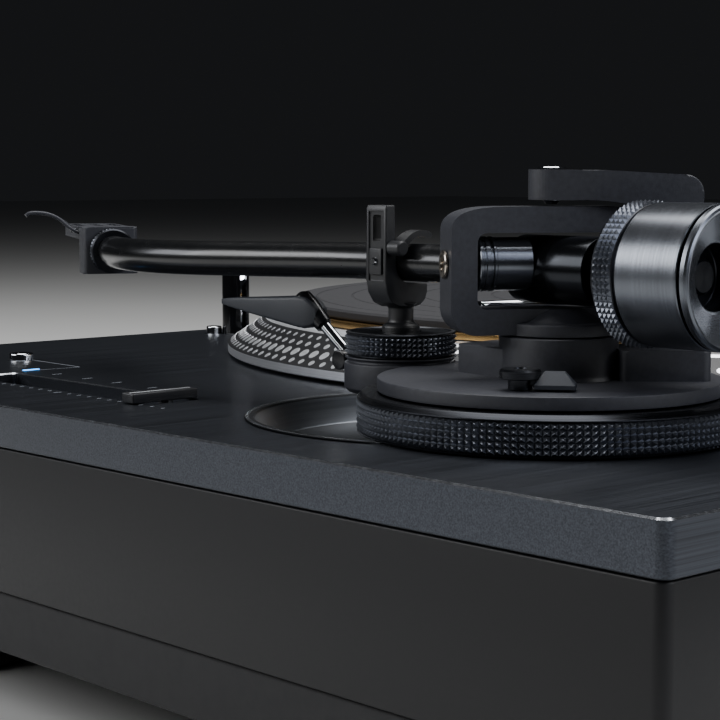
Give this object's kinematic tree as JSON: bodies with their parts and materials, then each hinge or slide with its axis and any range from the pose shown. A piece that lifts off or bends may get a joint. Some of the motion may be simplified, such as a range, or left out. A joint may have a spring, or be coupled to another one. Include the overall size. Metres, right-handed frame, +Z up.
{
  "type": "turntable record player",
  "caption": "Direct-drive record player with an S-shaped tonearm parked in its rest, knurled height and anti-skating controls, dotted platter rim, speed fader and pop-up target light.",
  "frame": {"origin": "on the surface that the feet stand on, under the middle of the cabinet", "axes": "+X towards the tonearm side, +Y towards the rear edge with the sockets, +Z up"},
  "size_m": [0.453, 0.372, 0.158],
  "materials": {
    "panel": "black anodised, brushed along the width, fine bright top chamfer",
    "casting": "matte black painted die casting",
    "paint": "fine-texture matte black paint",
    "rubber": "matte black rubber",
    "plastic": "moulded matte black plastic",
    "gloss": "gloss black",
    "anodised": "black anodised, turned and knurled",
    "tube": "gloss black anodised tube",
    "platter_metal": "turned and polished, black strobe band",
    "brass": "turned brass",
    "chrome": "polished",
    "steel": "satin",
    "copper": "enamelled copper windings on laminations",
    "board": "circuit board with parts"
  },
  "bodies": {
    "deck": {"top_panel": "panel", "cabinet": "casting", "base_layer": "rubber", "motor_frame": "casting", "motor_stator": "copper", "spindle_bearing": "brass", "control_board": "board", "power_supply": "board", "phono_jack_left": "brass", "phono_jack_right": "brass", "ground_terminal": "brass", "mains_inlet": "plastic", "terminal_plate": "casting", "speed_fader": "plastic", "target_light_sleeve": "plastic", "strobe_housing": "plastic", "arm_well": "anodised", "arm_mounting_collar": "casting"},
    "foot_1": {"foot_1": "rubber"},
    "foot_2": {"foot_2": "rubber"},
    "foot_3": {"foot_3": "rubber"},
    "foot_4": {"foot_4": "rubber"},
    "platter": {"platter": "platter_metal", "rotor_magnet": "steel", "platter_top_plate": "brass", "rubber_mat": "rubber", "spindle": "chrome"},
    "fader_knob": {"speed_fader_knob": "plastic"},
    "reset_button": {"reset_button": "chrome"},
    "range_button": {"range_button": "plastic"},
    "target_light_button": {"target_light_button": "chrome"},
    "start_stop_button": {"start_stop_button": "steel"},
    "speed_button_33": {"speed_button_33": "steel"},
    "speed_button_45": {"speed_button_45": "steel"},
    "target_light": {"target_light": "gloss"},
    "power_dial": {"power_dial": "anodised"},
    "height_ring": {"arm_height_ring": "anodised"},
    "arm_base": {"arm_base": "paint", "arm_bridge": "paint", "top_bearing_screw": "chrome", "arm_rest": "plastic"},
    "height_lock": {"height_lock_lever": "paint"},
    "anti_skate_dial": {"anti_skate_dial": "anodised"},
    "rest_latch": {"arm_rest_latch": "plastic"},
    "cue_lever": {"cue_lever": "plastic"},
    "arm_lifter": {"arm_lifter": "steel"},
    "gimbal": {"gimbal_frame": "paint", "bearing_screw_outer": "brass", "bearing_screw_inner": "brass"},
    "tonearm": {"arm_housing": "anodised", "arm_tube": "tube", "headshell": "paint", "finger_lift": "paint", "tail_shaft": "anodised"},
    "headshell_collar": {"headshell_collar": "anodised"},
    "force_ring": {"stylus_force_ring": "gloss"},
    "counterweight": {"counterweight": "anodised"}
  },
  "joints": [
    {"name": "foot_1_turn", "type": "hinge", "parent": "deck", "child": "foot_1", "pos_m": [-0.178, -0.14, 0.028], "axis": [0, 0, 1], "range_deg": [-360, 360]},
    {"name": "foot_2_turn", "type": "hinge", "parent": "deck", "child": "foot_2", "pos_m": [0.178, -0.14, 0.028], "axis": [0, 0, 1], "range_deg": [-360, 360]},
    {"name": "foot_3_turn", "type": "hinge", "parent": "deck", "child": "foot_3", "pos_m": [-0.178, 0.14, 0.028], "axis": [0, 0, 1], "range_deg": [-360, 360]},
    {"name": "foot_4_turn", "type": "hinge", "parent": "deck", "child": "foot_4", "pos_m": [0.178, 0.14, 0.028], "axis": [0, 0, 1], "range_deg": [-360, 360]},
    {"name": "platter_spin", "type": "hinge", "parent": "deck", "child": "platter", "pos_m": [-0.0348, 0.0007, 0.096], "axis": [0, 0, 1], "continuous": true},
    {"name": "speed_fader_slide", "type": "slide", "parent": "deck", "child": "fader_knob", "axis": [0, 1, 0], "range_m": [-0.078, 0]},
    {"name": "reset_button_press", "type": "slide", "parent": "deck", "child": "reset_button", "axis": [0, 0, 1], "range_m": [-0.0015, 0], "stiffness_N_per_m": 300},
    {"name": "range_button_press", "type": "slide", "parent": "deck", "child": "range_button", "axis": [0, 0, 1], "range_m": [-0.0015, 0], "stiffness_N_per_m": 300},
    {"name": "target_light_button_press", "type": "slide", "parent": "deck", "child": "target_light_button", "axis": [0, 0, 1], "range_m": [-0.0015, 0], "stiffness_N_per_m": 300},
    {"name": "start_stop_button_press", "type": "slide", "parent": "deck", "child": "start_stop_button", "axis": [0, 0, 1], "range_m": [-0.0015, 0], "stiffness_N_per_m": 300},
    {"name": "speed_button_33_press", "type": "slide", "parent": "deck", "child": "speed_button_33", "axis": [0, 0, 1], "range_m": [-0.0012, 0], "stiffness_N_per_m": 300},
    {"name": "speed_button_45_press", "type": "slide", "parent": "deck", "child": "speed_button_45", "axis": [0, 0, 1], "range_m": [-0.0012, 0], "stiffness_N_per_m": 300},
    {"name": "target_light_slide", "type": "slide", "parent": "deck", "child": "target_light", "axis": [0, 0, 1], "range_m": [-0.0235, 0]},
    {"name": "power_dial_turn", "type": "hinge", "parent": "deck", "child": "power_dial", "pos_m": [-0.1835, -0.132, 0.108], "axis": [0, 0, 1], "range_deg": [0, 60]},
    {"name": "height_ring_turn", "type": "hinge", "parent": "deck", "child": "height_ring", "pos_m": [0.1583, 0.0978, 0.101], "axis": [0, 0, 1], "range_deg": [0, 330]},
    {"name": "arm_height_slide", "type": "slide", "parent": "deck", "child": "arm_base", "axis": [0, 0, 1], "range_m": [0, 0.006]},
    {"name": "height_lock_turn", "type": "hinge", "parent": "arm_base", "child": "height_lock", "pos_m": [0.1842, 0.1122, 0.111], "axis": [0, 0, 1], "range_deg": [-60, 30]},
    {"name": "anti_skate_turn", "type": "hinge", "parent": "arm_base", "child": "anti_skate_dial", "pos_m": [0.1583, 0.0474, 0.114], "axis": [0, 0, 1], "range_deg": [0, 270]},
    {"name": "rest_latch_turn", "type": "hinge", "parent": "arm_base", "child": "rest_latch", "pos_m": [0.1653, 0.0474, 0.138], "axis": [0, 1, 0], "range_deg": [0, 95]},
    {"name": "cue_lever_turn", "type": "hinge", "parent": "arm_base", "child": "cue_lever", "pos_m": [0.1595, 0.0304, 0.1084], "axis": [1, 0, 0], "range_deg": [0, 20]},
    {"name": "arm_lifter_slide", "type": "slide", "parent": "arm_base", "child": "arm_lifter", "axis": [0, 0, 1], "range_m": [-0.0022, 0]},
    {"name": "arm_swing", "type": "hinge", "parent": "arm_base", "child": "gimbal", "pos_m": [0.1583, 0.0978, 0.1342], "axis": [0, 0, 1], "range_deg": [-45, 0]},
    {"name": "arm_tilt", "type": "hinge", "parent": "gimbal", "child": "tonearm", "pos_m": [0.1583, 0.0978, 0.1356], "axis": [0.8526, -0.5225, 0], "range_deg": [-2, 0.3]},
    {"name": "headshell_collar_turn", "type": "hinge", "parent": "tonearm", "child": "headshell_collar", "pos_m": [0.1539, -0.0851, 0.1328], "axis": [-0.454, -0.891, 0], "range_deg": [0, 45]},
    {"name": "force_ring_slide", "type": "slide", "parent": "tonearm", "child": "force_ring", "axis": [0, 1, 0], "range_m": [0, 0.006]},
    {"name": "counterweight_turn", "type": "hinge", "parent": "force_ring", "child": "counterweight", "pos_m": [0.1583, 0.1358, 0.1342], "axis": [0, 1, 0], "range_deg": [0, 720]}
  ],
  "couplings": [
    {"joint": "arm_height_slide", "follows": "height_ring_turn", "m_per_rad": 0.0010417},
    {"joint": "arm_lifter_slide", "follows": "cue_lever_turn", "m_per_rad": -0.0063025},
    {"joint": "force_ring_slide", "follows": "counterweight_turn", "m_per_rad": 0.0004775}
  ]
}
